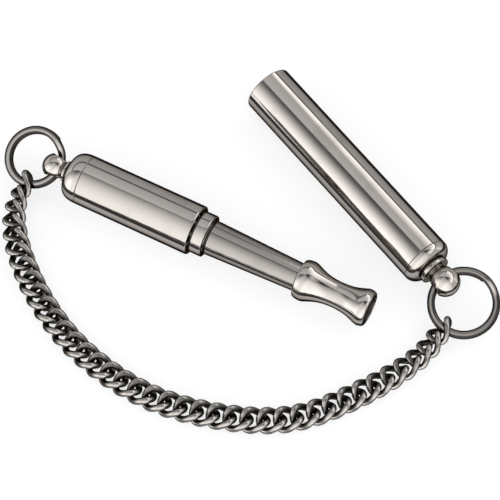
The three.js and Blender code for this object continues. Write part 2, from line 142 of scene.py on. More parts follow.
class Sheet:
    def __init__(self, tree):
        self.tree = tree

    def add(self, kind, settings=None, sockets=None):
        node = self.tree.nodes.new(kind)
        for name, value in (settings or {}).items():
            setattr(node, name, value)
        for name, value in (sockets or {}).items():
            if isinstance(value, Wire):
                value = value.socket
            if isinstance(value, bpy.types.NodeSocket):
                self.tree.links.new(value, node.inputs[name])
            else:
                node.inputs[name].default_value = value
        return node

    def wire(self, kind, output, settings=None, sockets=None):
        return Wire(self, self.add(kind, settings, sockets).outputs[output])

    def parts(self, vector):
        node = self.add("ShaderNodeSeparateXYZ", None, {"Vector": vector})
        return [Wire(self, output) for output in node.outputs]

    def vector(self, x, y, z):
        return self.wire("ShaderNodeCombineXYZ", "Vector", None, {"X": x, "Y": y, "Z": z})

    def noise(self, spot, scale, detail):
        return self.wire("ShaderNodeTexNoise", "Fac", None, {
            "Vector": spot, "Scale": scale, "Detail": detail,
        })

    def attribute(self, name):
        return self.wire("ShaderNodeAttribute", "Fac", {"attribute_name": name})

    def bump(self, height, strength, distance):
        return self.wire("ShaderNodeBump", "Normal", None, {
            "Strength": strength, "Distance": distance, "Height": height,
        })

    def tint(self, factor, first, second):
        node = self.add("ShaderNodeMix", {"data_type": "RGBA"}, {"Factor": factor})
        for place, colour in ((6, first), (7, second)):  # the node's two colour sockets
            if isinstance(colour, Wire):
                self.tree.links.new(colour.socket, node.inputs[place])
            else:
                node.inputs[place].default_value = (*colour, 1)
        return Wire(self, node.outputs[2])


def newMaterial(name):
    material = bpy.data.materials.new(name)
    material.use_nodes = True
    material.node_tree.nodes.clear()
    return material, Sheet(material.node_tree)


def finishMetal(sheet, colour, roughness, edge, bump=None):
    sockets = {
        "Base Color": colour,
        "Metallic": 1.0,
        "Roughness": roughness,
        "Specular Tint": (*edge, 1),
    }
    if bump is not None:
        sockets["Normal"] = bump
    shader = sheet.add("ShaderNodeBsdfPrincipled", None, sockets)
    sheet.add("ShaderNodeOutputMaterial", None, {"Surface": shader.outputs[0]})


# Polished plate: faint lathe rings along the piece, a breath of haze, handling marks, and painted shade in
# grooves, hollows and along the split rings' edges
plateLook = {
    "tone": (0.40, 0.368, 0.338),
    "hazeTone": (0.35, 0.32, 0.292),
    "soilTone": (0.055, 0.05, 0.045),
    "edgeTone": (0.05, 0.048, 0.045),
    "roughness": 0.08,
    "hazeRoughness": 0.17,
    "soilRoughness": 0.5,
    "ringsPerMetre": 5200, "ringsAcross": 60, "ringDetail": 2.0, "ringDepth": 0.012, "ringStep": 0.0002,
    "hazeScale": 160.0, "hazeDetail": 3.0, "hazeEdge": (0.42, 0.75), "hazeShare": 0.7,
    "markScale": 900.0, "markDetail": 4.0, "markEdge": (0.6, 0.72), "markShare": 0.3,
    "wearShare": 0.5,
}
# painted shade: the stem gets a darker copy of the plate tone
stemLook = {**plateLook, "tone": (0.285, 0.262, 0.24), "hazeTone": (0.25, 0.228, 0.208)}
# painted highlight: the split rings get a lighter copy of the plate tone, with painted shade at the band's
# edges
ringLook = {
    **plateLook, "tone": (0.50, 0.463, 0.428), "hazeTone": (0.44, 0.405, 0.372), "ringsPerMetre": 900,
    "soilTone": (0.03, 0.027, 0.025), "soilRoughness": 0.2,
}


def polishedPlate(name, heading, look):
    material, sheet = newMaterial(name)
    spot = sheet.wire("ShaderNodeTexCoord", "Object")
    along = sheet.wire("ShaderNodeMapping", "Vector", {"vector_type": "POINT"}, {
        "Vector": spot,
        "Rotation": (0, 0, math.radians(90) - heading),
        "Scale": (look["ringsAcross"], look["ringsPerMetre"], look["ringsAcross"]),
    })
    rings = sheet.noise(along, 1.0, look["ringDetail"])
    haze = sheet.noise(spot, look["hazeScale"], look["hazeDetail"]).step(*look["hazeEdge"])
    marks = sheet.noise(spot, look["markScale"], look["markDetail"]).step(*look["markEdge"])
    wear = sheet.attribute("edgeWear")
    veil = haze * look["hazeShare"] + marks * look["markShare"]
    dull = (veil + wear * look["wearShare"]).step(0.0, 1.0)
    # painted shade: this value darkens the colour in grooves, hollows and at the split rings' edges
    soil = sheet.attribute("soil")
    colour = sheet.tint(soil, sheet.tint(dull, look["tone"], look["hazeTone"]), look["soilTone"])
    clean = dull * (look["hazeRoughness"] - look["roughness"]) + look["roughness"]
    roughness = clean + soil * (look["soilRoughness"] - clean)
    bump = sheet.bump(rings, look["ringDepth"], look["ringStep"])
    finishMetal(sheet, colour, roughness, look["edgeTone"], bump)
    return material


# Chain wire: painted highlight on the outside of each link and on its risen bows, painted shade where links
# nest, and random grime
chainLook = {
    "bright": (0.33, 0.307, 0.284),
    "dark": (0.085, 0.078, 0.071),
    "edgeTone": (0.04, 0.038, 0.036),
    "roughness": 0.12,
    "darkRoughness": 0.32,
    "grimeScale": 700.0, "grimeDetail": 4.0, "grimeMiddle": 0.5, "grimeShare": 0.7, "darkEdge": (0.15, 0.85),
    "pitDepth": 0.08, "pitStep": 0.0001,
}


def chainWire(name, look):
    material, sheet = newMaterial(name)
    spot = sheet.wire("ShaderNodeTexCoord", "Object")
    rub = sheet.attribute("rub")
    darkening = sheet.noise(spot, look["grimeScale"], look["grimeDetail"])
    # painted shade where links nest and painted highlight outside, mixed with random grime
    dark = (1 - rub + (darkening - look["grimeMiddle"]) * look["grimeShare"]).step(*look["darkEdge"])
    colour = sheet.tint(dark, look["bright"], look["dark"])
    roughness = dark * (look["darkRoughness"] - look["roughness"]) + look["roughness"]
    bump = sheet.bump(darkening, look["pitDepth"], look["pitStep"])
    finishMetal(sheet, colour, roughness, look["edgeTone"], bump)
    return material


# Pieces inside: turned brass, oiled leather, felt
brassLook = {
    "tone": (0.60, 0.43, 0.18),
    "stainTone": (0.42, 0.28, 0.12),
    "edgeTone": (0.5, 0.4, 0.25),
    "stainScale": 400.0, "stainDetail": 3.0, "stainEdge": (0.35, 0.7),
    "roughness": 0.2, "stainRoughness": 0.25,
}
fibreLook = {
    "detail": 5.0, "edge": (0.3, 0.7), "depth": 0.5, "step": 0.0002, "roughness": 0.7, "fibreRoughness": 0.2,
}
leatherLook = {**fibreLook, "light": (0.24, 0.15, 0.08), "dark": (0.12, 0.07, 0.04), "scale": 900.0}
feltLook = {**fibreLook, "light": (0.42, 0.39, 0.34), "dark": (0.22, 0.20, 0.18), "scale": 2500.0}


def turnedBrass(name, look):
    material, sheet = newMaterial(name)
    spot = sheet.wire("ShaderNodeTexCoord", "Object")
    stain = sheet.noise(spot, look["stainScale"], look["stainDetail"])
    colour = sheet.tint(stain.step(*look["stainEdge"]), look["tone"], look["stainTone"])
    finishMetal(sheet, colour, stain * look["stainRoughness"] + look["roughness"], look["edgeTone"])
    return material


def softFill(name, look):
    material, sheet = newMaterial(name)
    spot = sheet.wire("ShaderNodeTexCoord", "Object")
    fibre = sheet.noise(spot, look["scale"], look["detail"])
    shader = sheet.add("ShaderNodeBsdfPrincipled", None, {
        "Base Color": sheet.tint(fibre.step(*look["edge"]), look["dark"], look["light"]),
        "Roughness": fibre * look["fibreRoughness"] + look["roughness"],
        "Normal": sheet.bump(fibre, look["depth"], look["step"]),
    })
    sheet.add("ShaderNodeOutputMaterial", None, {"Surface": shader.outputs[0]})
    return material


# Studio: a cloth tent, bright low at the left and on a panel at the right, that goes on below a white table.
# Mirrored rays pass the table and see the tent. The camera doesn't, and pieces below the table show paler.
tentLook = {
    "radius": 1.5, "segments": (48, 24), "colour": (0.985, 1.0, 1.02),
    "cloth": 0.08,
    "leftTurn": 228, "leftEdge": (-0.1, 0.1), "nearLeft": (0.5, 1.65), "farLeft": 3.6,
    "leftSeamTurn": 140, "leftSeam": (0.2, 0.4),
    "farTurn": 80, "farEdge": (0.12, 0.16), "farLight": (1.08, 0.45),
    "farSeam": (0.53, 0.59, 0.63, 0.69), "farSeamDark": 0.9, "farSeamDrop": 0.13,
    "panelEdgeTurn": 155, "panelEdge": (0.125, 0.09), "panelEndTurn": 50, "panelEnd": (0.0, 0.15),
    "panelFoot": (0.52, 0.55), "panelLight": (5.0, 5.4),
    "fillTurn": -50, "fillEdge": (0.25, 0.75), "fillLight": 0.9,
    "clothFoot": (-0.28, -0.20),
    "floorTop": (-0.50, -0.58), "floorShade": (-0.82, -0.96), "floorLight": 0.95,
}
tableLook = {"size": 2.9, "tone": 0.97, "clear": 0.75}


def planDirection(degrees):
    angle = math.radians(degrees + cameraView["turn"])
    return math.cos(angle), math.sin(angle)


def stageForm(name, form, material):
    mesh = bpy.data.meshes.new(name)
    form.to_mesh(mesh)
    form.free()
    mesh.materials.append(material)
    backdrop = bpy.data.objects.new(name, mesh)
    bpy.context.scene.collection.objects.link(backdrop)
    return backdrop


def tentCloth(look):
    material, sheet = newMaterial("tentCloth")
    x, y, z = (part / look["radius"] for part in sheet.parts(sheet.wire("ShaderNodeTexCoord", "Object")))

    def towards(turn):
        planX, planY = planDirection(turn)
        return x * planX + y * planY

    leftEdge = towards(look["leftTurn"]).step(*look["leftEdge"])
    leftward = towards(look["leftTurn"]).atLeast(0.0)
    nearLeft = leftEdge * (leftward * look["nearLeft"][1] + look["nearLeft"][0])
    farLeft = leftward * leftward * look["farLeft"]
    seam = towards(look["leftSeamTurn"]).step(*look["leftSeam"])
    left = nearLeft + (farLeft - nearLeft) * seam
    panelSide = towards(look["panelEdgeTurn"]).step(*look["panelEdge"])
    farward = towards(look["farTurn"])
    seamPlace = z + panelSide * look["farSeamDrop"]
    farSeam = seamPlace.step(*look["farSeam"][:2]) * (1 - seamPlace.step(*look["farSeam"][2:]))
    far = farward.step(*look["farEdge"]) * (look["farLight"][0] - farward * look["farLight"][1])
    far = far * (1 - farSeam * look["farSeamDark"])
    panel = panelSide * z.step(*look["panelFoot"]) * towards(look["panelEndTurn"]).step(*look["panelEnd"])
    panel = panel * (look["panelLight"][0] - z * look["panelLight"][1]).atLeast(0.0)
    fill = towards(look["fillTurn"]).step(*look["fillEdge"]) * look["fillLight"]
    floor = z.step(*look["floorTop"]) * (1 - z.step(*look["floorShade"])) * look["floorLight"]
    glow = (left + far + panel + fill) * z.step(*look["clothFoot"]) + floor + look["cloth"]
    shader = sheet.add("ShaderNodeEmission", None, {"Color": (*look["colour"], 1), "Strength": glow})
    sheet.add("ShaderNodeOutputMaterial", None, {"Surface": shader.outputs[0]})
    return material


def buildTent(look):
    form = bmesh.new()
    around, upward = look["segments"]
    bmesh.ops.create_uvsphere(form, u_segments=around, v_segments=upward, radius=look["radius"])
    bmesh.ops.reverse_faces(form, faces=form.faces)
    tent = stageForm("tent", form, tentCloth(look))
    tent.visible_camera = False


def tableTop(look):
    material, sheet = newMaterial("tableTop")
    path = sheet.add("ShaderNodeLightPath").outputs
    looking = Wire(sheet, path["Is Camera Ray"])
    mirrored = Wire(sheet, path["Is Glossy Ray"]).atLeast(Wire(sheet, path["Is Transmission Ray"]))
    tone = look["tone"]
    cloth = sheet.add("ShaderNodeBsdfDiffuse", None, {"Color": (tone, tone, tone, 1)})
    clear = sheet.add("ShaderNodeBsdfTransparent")
    both = sheet.add("ShaderNodeMixShader", None, {
        "Fac": looking * look["clear"] + mirrored,
        1: cloth.outputs[0],
        2: clear.outputs[0],
    })
    sheet.add("ShaderNodeOutputMaterial", None, {"Surface": both.outputs[0]})
    return material


def buildTable(look):
    form = bmesh.new()
    bmesh.ops.create_grid(form, x_segments=1, y_segments=1, size=look["size"] / 2)
    stageForm("table", form, tableTop(look))


def buildSky():
    world = bpy.data.worlds.new("whiteRoom")
    world.use_nodes = True
    world.node_tree.nodes.clear()
    sheet = Sheet(world.node_tree)
    sky = sheet.add("ShaderNodeBackground", None, {"Color": (1, 1, 1, 1), "Strength": 1.0})
    sheet.add("ShaderNodeOutputWorld", None, {"Surface": sky.outputs[0]})
    bpy.context.scene.world = world


buildSky()
buildTent(tentLook)
buildTable(tableLook)
print("studio set")


# Turned pieces: a profile of (radius, place) in millimetres, run round the piece's own axis
turning = {
    "segments": 112, "curveSteps": 24, "sharpDegrees": 42,
    "cornerShare": 0.45, "cornerSteps": 5, "easeReach": 1.35, "easeShare": 0.5,
    "onAxis": 1e-6, "mergeGap": 1e-8,
}


def arcPoints(radiusAt, placeAt, wide, tall, fromDegrees, toDegrees, steps):
    points = []
    for i in range(steps + 1):
        angle = math.radians(fromDegrees + (toDegrees - fromDegrees) * i / steps)
        points.append((radiusAt + wide * math.cos(angle), placeAt + tall * math.sin(angle)))
    return points


def domePoints(size):
    # a quarter oval, the fuller the higher its power; 2 is an ellipse
    points = []
    power = 2 / size["domePower"]
    for i in range(1, turning["curveSteps"]):
        angle = math.pi / 2 * i / turning["curveSteps"]
        out, rise = math.cos(angle) ** power, math.sin(angle) ** power
        points.append((size["domeFlat"] + (size["tube"] - size["domeFlat"]) * out, size["domeLength"] * rise))
    return points


def bezierPoints(a, b, c, d):
    points = []
    for i in range(turning["curveSteps"] + 1):
        t = i / turning["curveSteps"]
        weights = ((1 - t) ** 3, 3 * t * (1 - t) ** 2, 3 * t * t * (1 - t), t ** 3)
        points.append(tuple(sum(w * p[k] for w, p in zip(weights, (a, b, c, d))) for k in range(2)))
    return points


def softenCorners(points, closed):
    # a point is radius, place, then the radius of its corner and how much painted shade it has, both 0 if
    # left out
    smooth = []
    count = len(points)
    for i, point in enumerate(points):
        corner, soil = (*point[2:], 0.0, 0.0)[:2]
        if corner == 0 or (not closed and i in (0, count - 1)):
            smooth.append((point[0], point[1], 0.0, soil))
            continue
        here = Vector(point[:2])
        before = Vector(points[i - 1][:2]) - here
        after = Vector(points[(i + 1) % count][:2]) - here
        reach = min(corner, before.length * turning["cornerShare"], after.length * turning["cornerShare"])
        ease = reach * turning["easeReach"]
        start, end = here + before.normalized() * reach, here + after.normalized() * reach
        lead = here + before.normalized() * min(ease, before.length * turning["easeShare"])
        trail = here + after.normalized() * min(ease, after.length * turning["easeShare"])
        smooth.append((lead.x, lead.y, 0.0, soil))
        for k in range(turning["cornerSteps"] + 1):
            t = k / turning["cornerSteps"]
            spot = start * (1 - t) ** 2 + here * 2 * t * (1 - t) + end * t * t
            smooth.append((spot.x, spot.y, 1.0, soil))
        smooth.append((trail.x, trail.y, 0.0, soil))
    return smooth


def turnMesh(name, points, place, closed=False, thread=None):
    profile = softenCorners(points, closed)
    segments = turning["segments"]
    form = bmesh.new()
    wear = form.verts.layers.float.new("edgeWear")
    # painted shade for each point, read by the plate material
    paintedShadeLayer = form.verts.layers.float.new("soil")
    rows = []
    for radius, height, worn, soil in profile:
        if radius < turning["onAxis"]:
            row = [form.verts.new((0, height * mm, 0))]
        else:
            row = []
            for k in range(segments):
                angle = 2 * math.pi * k / segments
                cut = (radius - (thread(radius, height, angle) if thread else 0.0)) * mm
                row.append(form.verts.new((cut * math.sin(angle), height * mm, cut * math.cos(angle))))
        for vert in row:
            vert[wear], vert[paintedShadeLayer] = worn, soil
        rows.append(row)
    pairs = list(zip(rows, rows[1:] + rows[:1])) if closed else list(zip(rows, rows[1:]))
    for low, high in pairs:
        for k in range(segments):
            n = (k + 1) % segments
            corners = [low[k % len(low)], low[n % len(low)], high[n % len(high)], high[k % len(high)]]
            face = list(dict.fromkeys(corners))
            if len(face) > 2:
                form.faces.new(face)
    bmesh.ops.remove_doubles(form, verts=form.verts, dist=turning["mergeGap"])
    bmesh.ops.recalc_face_normals(form, faces=form.faces)
    mesh = bpy.data.meshes.new(name)
    form.to_mesh(mesh)
    form.free()
    mesh.transform(place)
    mesh.shade_smooth()
    mesh.set_sharp_from_angle(angle=math.radians(turning["sharpDegrees"]))
    return mesh


def addPiece(name, mesh, material, body, slot, *nodes):
    mesh.materials.clear()
    mesh.materials.append(material)
    piece = bpy.data.objects.new(name, mesh)
    bpy.context.scene.collection.objects.link(piece)
    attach(piece, body)
    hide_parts(*nodes)


def carve(mesh, cutter):
    # takes a closed cutter mesh out of a mesh that is already in place
    body = bpy.data.objects.new("carved", mesh)
    tool = bpy.data.objects.new("cutter", cutter)
    for item in (body, tool):
        bpy.context.scene.collection.objects.link(item)
    cut = body.modifiers.new("cut", "BOOLEAN")
    cut.operation, cut.solver, cut.object = "DIFFERENCE", "EXACT", tool
    bpy.context.view_layer.update()
    seen = body.evaluated_get(bpy.context.evaluated_depsgraph_get())
    result = bpy.data.meshes.new_from_object(seen)
    result.name = mesh.name
    for item in (body, tool):
        bpy.data.objects.remove(item)
    result.shade_smooth()
    result.set_sharp_from_angle(angle=math.radians(turning["sharpDegrees"]))
    return result


def axisPlace(origin, axis):
    up = Vector((0, 0, 1))
    along = Vector(axis).normalized()
    across = along.cross(up).normalized()
    return Matrix.Translation(origin) @ Matrix((across, along, up)).transposed().to_4x4()


# Where things lie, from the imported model
barrelLength = 24.2
travel = joints["tuning_travel"]
whistleAxis = Vector(travel["axis"]).normalized()
whistlePlace = axisPlace(Vector(travel["pos_m"]) - whistleAxis * barrelLength * mm, whistleAxis)
whistleHeading = math.atan2(whistleAxis.y, whistleAxis.x)
capLow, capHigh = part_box("cap_tube")
capRim = Vector(((capLow.x + capHigh.x) / 2, capHigh.y, (capLow.z + capHigh.z) / 2))
capPlace = axisPlace(capRim, (0, -1, 0))

whistlePlate = polishedPlate("whistlePlate", whistleHeading, plateLook)
stemPlate = polishedPlate("stemPlate", whistleHeading, stemLook)
capPlate = polishedPlate("capPlate", math.radians(-90), plateLook)
ringPlate = polishedPlate("ringPlate", 0.0, ringLook)
chainMetal = chainWire("chainMetal", chainLook)
innerBrass = turnedBrass("innerBrass", brassLook)
oiledLeather = softFill("oiledLeather", leatherLook)
greyFelt = softFill("greyFelt", feltLook)


# Knobs: dome, flange and drilled ball on a spigot; drawn with the ball towards +Y
barrelKnob = {
    "tube": 5.0, "domeLength": 3.6, "domeFlat": 2.2, "domePower": 2.6, "groove": 0.35, "grooveRadius": 1.6,
    "flange": 2.1, "flangeLength": 0.5, "neck": 1.64, "ball": 2.6, "ballReach": 3.0,
    "spigot": 4.18, "spigotLength": 4.0, "socket": 1.12, "socketDepth": 3.2,
}
capKnob = {
    "seat": 48.3, "tube": 5.0, "domeLength": 2.0, "domeFlat": 3.0, "domePower": 2.0, "groove": 0.35,
    "grooveRadius": 2.6, "flange": 3.1, "flangeLength": 0.8, "neck": 1.86, "ball": 2.95, "ballReach": 3.9,
    "spigot": 4.28, "spigotLength": 3.0, "socket": 0,
}
knobFinish = {
    "spigotEdge": 0.15, "seamEdge": 0.06, "grooveEdge": 0.08, "grooveSoil": 0.9,
    "flangeEdge": 0.2, "neckEdge": 0.1, "ballSteps": 40,
}
ringHole = {"radius": 1.6, "shift": 0.5, "lip": 0.2, "flare": (0.3, 0.6, 0.9, 1.2), "mouth": 1.6, "past": 1.0}


def knobProfile(size):
    face = size["domeLength"]
    flangeStart = face + size["groove"]
    flangeEnd = flangeStart + size["flangeLength"]
    ballAt = face + size["ballReach"]
    neckDegrees = math.degrees(math.acos(size["neck"] / size["ball"]))
    spigotEnd = -size["spigotLength"]
    if size["socket"]:
        deep = spigotEnd + size["socketDepth"]
        start = [(0, deep), (size["socket"], deep), (size["socket"], spigotEnd)]
    else:
        start = [(0, spigotEnd)]
    ball = arcPoints(0, ballAt, size["ball"], size["ball"], -neckDegrees, 90, knobFinish["ballSteps"])
    ball[-1] = (0, ball[-1][1])
    return start + [
        (size["spigot"], spigotEnd, knobFinish["spigotEdge"]),
        (size["spigot"], 0),
        (size["tube"] - knobFinish["seamEdge"], 0),
        (size["tube"], knobFinish["seamEdge"]),
        *domePoints(size),
        (size["domeFlat"], face),
        # painted shade in the groove between dome and flange
        (size["grooveRadius"], face, knobFinish["grooveEdge"], knobFinish["grooveSoil"]),
        (size["grooveRadius"], flangeStart, knobFinish["grooveEdge"], knobFinish["grooveSoil"]),
        (size["flange"], flangeStart, knobFinish["flangeEdge"]),
        (size["flange"], flangeEnd, knobFinish["flangeEdge"]),
        (size["neck"], flangeEnd, knobFinish["neckEdge"]),
        *ball,
    ]


def holeCutter(ballAt, ball, place, direction):
    # a straight hole with flared ends, so that its rims are round
    bore, lip = ringHole["radius"], ringHole["lip"]
    end = math.sqrt(ball ** 2 - bore ** 2)
    straight = end - 2 * lip
    mouthRadius, past = bore + lip * ringHole["mouth"], ball + ringHole["past"]
    half = [(bore, straight)]
    half += [(bore + lip * (1 - math.cos(a)), straight + 2 * lip * math.sin(a)) for a in ringHole["flare"]]
    half += [(mouthRadius, end + lip), (mouthRadius, past), (0, past)]
    profile = [(r, -h) for r, h in reversed(half)] + half
    turn = Vector((0, 1, 0)).rotation_difference(Vector(direction)).to_matrix().to_4x4()
    return turnMesh("ringHole", profile, Matrix.Translation(place @ Vector((0, ballAt * mm, 0))) @ turn)


def buildKnob(name, size, place, swing, material, body, node):
    mesh = turnMesh(name, knobProfile(size), place)
    ballAt = size["domeLength"] + size["ballReach"] - ringHole["shift"]
    mesh = carve(mesh, holeCutter(ballAt, size["ball"], place, joints[swing]["axis"]))
    addPiece(name, mesh, material, body, "polished_nickel", node)


barrelKnobPlace = whistlePlace @ Matrix.Rotation(math.pi, 4, "X")
capKnobPlace = capPlace @ Matrix.Translation((0, capKnob["seat"] * mm, 0))
buildKnob("barrelKnobFine", barrelKnob, barrelKnobPlace, "whistle_ring_swing",
          whistlePlate, "barrel", "barrel_end_knob")
buildKnob("capKnobFine", capKnob, capKnobPlace, "cap_swing",
          capPlate, "cap", "cap_end_knob")
print("knobs turned")


# Barrel, lock ring and cap
barrelTube = {
    "radius": 5.0, "bore": 4.3, "start": 0.1, "end": barrelLength,
    "seamEdge": 0.06, "mouthEdge": 0.9, "boreEdge": 0.1,
}
lockRing = {
    "radius": 4.25, "bore": 3.65, "neck": 3.85, "start": 24.3, "shoulder": 24.7, "end": 27.0,
    "boreEdge": 0.08, "neckEdge": 0.05, "grooveEdge": 0.06, "shoulderEdge": 0.22, "edge": 0.5,
}
capTube = {"radius": 5.0, "bore": 4.4, "end": 48.2, "boreEdge": 0.12, "rimEdge": 0.22, "seamEdge": 0.06}

addPiece("barrelTubeFine", turnMesh("barrelTubeFine", [
    (barrelTube["bore"], barrelTube["start"]),
    (barrelTube["radius"], barrelTube["start"], barrelTube["seamEdge"]),
    (barrelTube["radius"], barrelTube["end"], barrelTube["mouthEdge"]),
    (barrelTube["bore"], barrelTube["end"], barrelTube["boreEdge"]),
], whistlePlace, closed=True), whistlePlate, "barrel", "polished_nickel", "barrel_tube")

addPiece("lockRingFine", turnMesh("lockRingFine", [
    (lockRing["bore"], lockRing["start"], lockRing["boreEdge"]),
    # painted shade in the neck groove, the last number on these two points
    (lockRing["neck"], lockRing["start"], lockRing["neckEdge"], 1.0),
    (lockRing["neck"], lockRing["shoulder"], lockRing["grooveEdge"], 1.0),
    (lockRing["radius"], lockRing["shoulder"], lockRing["shoulderEdge"]),
    (lockRing["radius"], lockRing["end"], lockRing["edge"]),
    (lockRing["bore"], lockRing["end"], lockRing["boreEdge"]),
], whistlePlace, closed=True), whistlePlate, "lock_ring", "polished_nickel", "lock_ring")

addPiece("capTubeFine", turnMesh("capTubeFine", [
    (capTube["bore"], 0, capTube["boreEdge"]),
    (capTube["radius"], 0, capTube["rimEdge"]),
    (capTube["radius"], capTube["end"], capTube["seamEdge"]),
    (capTube["bore"], capTube["end"]),
], capPlace, closed=True), capPlate, "cap", "polished_nickel", "cap_tube")
print("tubes turned")


# Tuning stem: threaded tail, tapered front, sound window underneath
stem = {
    "tail": 3.5, "tailStart": 4.5, "relief": 3.0, "reliefEnd": 27.6, "root": 3.46, "taperStart": 27.1,
    "tip": 2.85, "shoulder": 46.1, "spigot": 2.6, "spigotEnd": 50.1, "bore": 2.05,
    "gland": 2.6, "glandFloor": 7.4,
    "tailEdge": 0.2, "reliefEdge": 0.08, "rootEdge": 0.12, "tipEdge": 0.06, "spigotEdge": 0.1,
}
tuningThread = {
    "pitch": 0.75, "depth": 0.3, "start": 6.0, "end": 26.3, "fade": 0.8, "skin": 0.01, "rowsPerPitch": 8,
}
soundWindow = {"length": 1.6, "width": 2.6, "fromShoulder": 1.7, "ramp": 2.8}


def threadCut(radius, height, angle):
    start, end = tuningThread["start"], tuningThread["end"]
    if radius < stem["tail"] - tuningThread["skin"] or not start <= height <= end:
        return 0.0
    phase = (height / tuningThread["pitch"] - angle / (2 * math.pi)) % 1.0
    fade = min(1.0, (height - start) / tuningThread["fade"], (end - height) / tuningThread["fade"])
    return tuningThread["depth"] * fade * abs(2 * phase - 1)


def buildStem():
    start, length = tuningThread["start"], tuningThread["end"] - tuningThread["start"]
    rows = int(length / tuningThread["pitch"] * tuningThread["rowsPerPitch"])
    tail = [(stem["tail"], start + length * i / rows) for i in range(rows + 1)]
    return turnMesh("stemFine", [
        (stem["gland"], stem["tailStart"]),
        (stem["tail"], stem["tailStart"], stem["tailEdge"]),
        *tail,
        (stem["tail"], stem["taperStart"], stem["reliefEdge"]),
        # painted shade in the relief groove before the taper
        (stem["relief"], stem["taperStart"], stem["reliefEdge"], 1.0),
        (stem["relief"], stem["reliefEnd"], stem["reliefEdge"], 1.0),
        (stem["root"], stem["reliefEnd"], stem["rootEdge"]),
        (stem["tip"], stem["shoulder"], stem["tipEdge"]),
        (stem["spigot"], stem["shoulder"]),
        (stem["spigot"], stem["spigotEnd"], stem["spigotEdge"]),
        (stem["bore"], stem["spigotEnd"]),
        (stem["bore"], stem["glandFloor"]),
        (stem["gland"], stem["glandFloor"]),
    ], whistlePlace, closed=True, thread=threadCut)


def windowCutter():
    plug = stem["shoulder"] - soundWindow["fromShoulder"]
    lip = plug - soundWindow["length"]
    half = soundWindow["width"] / 2
    outline = [
        (plug, 0),
        (plug, -stem["tail"]),
        (lip - soundWindow["ramp"], -stem["tail"]),
        (lip, -stem["bore"]),
        (lip, 0),
    ]
    form = bmesh.new()
    near = [form.verts.new((-half * mm, y * mm, z * mm)) for y, z in outline]
    far = [form.verts.new((half * mm, y * mm, z * mm)) for y, z in outline]
    form.faces.new(near)
    form.faces.new(far)
    for k in range(len(outline)):
        n = (k + 1) % len(outline)
        form.faces.new((near[k], near[n], far[n], far[k]))
    bmesh.ops.recalc_face_normals(form, faces=form.faces)
    mesh = bpy.data.meshes.new("soundWindow")
    form.to_mesh(mesh)
    form.free()
    mesh.transform(whistlePlace)
    return mesh


addPiece("stemFine", carve(buildStem(), windowCutter()), stemPlate, "stem", "polished_nickel", "stem_tube")
print("stem turned")


# Mouthpiece: shoulder bead, waist, flare and rounded lip, with painted shade on the back step and in the cup,
# bore and socket
mouth = {
    "start": 46.2, "length": 14.9, "shoulder": 4.05, "shoulderAt": 1.67, "shoulderEase": 1.2,
    "back": 3.5, "backStep": 0.3, "backEdge": 0.1, "backSoil": 0.6, "backDegrees": -70, "backSteps": 14,
    "waist": 2.6, "waistAt": 7.9, "waistEase": 3.8,
    "lip": 3.7, "lipAt": 13.7, "lipEase": 1.1, "lipSteps": 16, "end": 3.15,
    "cup": 2.8, "cupDepth": 2.4, "cupEdge": 0.12, "cupEdgeSoil": 0.3, "cupShadeDepth": 0.5, "cupSoil": 0.9,
    "bore": 1.9, "socket": 2.72, "socketEnd": 4.1,
}
mouthBush = {
    "outer": 2.68, "bore": 1.2, "start": 58.8, "end": 60.1, "innerEdge": 0.08, "edge": 0.2,
    "bright": 0.5, "outerSoil": 0.7, "boreSoil": 0.3, "boreShadeDepth": 0.4,
}


def mouthProfile(size):
    shoulder, waist, lip, length = size["shoulder"], size["waist"], size["lip"], size["length"]
    shoulderAt, waistAt, lipAt = size["shoulderAt"], size["waistAt"], size["lipAt"]
    points = [
        # the fourth number is painted shade, full inside the cup, bore and socket
        (size["socket"], 0, 0.0, 1.0),
        (size["back"] - size["backStep"], 0, size["backEdge"], size["backSoil"]),
        *arcPoints(size["back"], shoulderAt, shoulder - size["back"], shoulderAt,
                   size["backDegrees"], 0, size["backSteps"]),
        *bezierPoints((shoulder, shoulderAt), (shoulder, shoulderAt + size["shoulderEase"]),
                      (waist, waistAt - size["waistEase"]), (waist, waistAt))[1:],
        *bezierPoints((waist, waistAt), (waist, waistAt + size["waistEase"]),
                      (lip, lipAt - size["lipEase"]), (lip, lipAt))[1:],
        *arcPoints(size["end"], lipAt, lip - size["end"], length - lipAt, 0, 90, size["lipSteps"])[1:],
        (size["cup"], length, size["cupEdge"], size["cupEdgeSoil"]),
        (size["cup"], length - size["cupShadeDepth"], 0.0, size["cupSoil"]),
        (size["cup"], length - size["cupDepth"], 0.0, 1.0),
        (size["bore"], length - size["cupDepth"], 0.0, 1.0),
        (size["bore"], size["socketEnd"], 0.0, 1.0),
        (size["socket"], size["socketEnd"], 0.0, 1.0),
    ]
    return [(p[0], p[1] + size["start"], *p[2:]) for p in points]


addPiece("mouthpieceFine", turnMesh("mouthpieceFine", mouthProfile(mouth), whistlePlace, closed=True),
         whistlePlate, "stem", "polished_nickel", "mouthpiece")
addPiece("mouthBushFine", turnMesh("mouthBushFine", [
    # painted shade in the bore and on the outer edge, with a clean band left on the face at bright
    (mouthBush["bore"], mouthBush["start"], mouthBush["innerEdge"], 1.0),
    (mouthBush["outer"], mouthBush["start"], mouthBush["innerEdge"], 1.0),
    (mouthBush["outer"], mouthBush["end"], mouthBush["edge"], mouthBush["outerSoil"]),
    (mouthBush["bore"] + mouthBush["bright"], mouthBush["end"], mouthBush["edge"], 0.0),
    (mouthBush["bore"], mouthBush["end"], mouthBush["edge"], mouthBush["boreSoil"]),
    (mouthBush["bore"], mouthBush["end"] - mouthBush["boreShadeDepth"], 0.0, 1.0),
], whistlePlace, closed=True), whistlePlate, "stem", "chain_nickel", "mouth_bush")
print("mouthpiece turned")


# Node trees for wire: named inputs, then a plain mesh

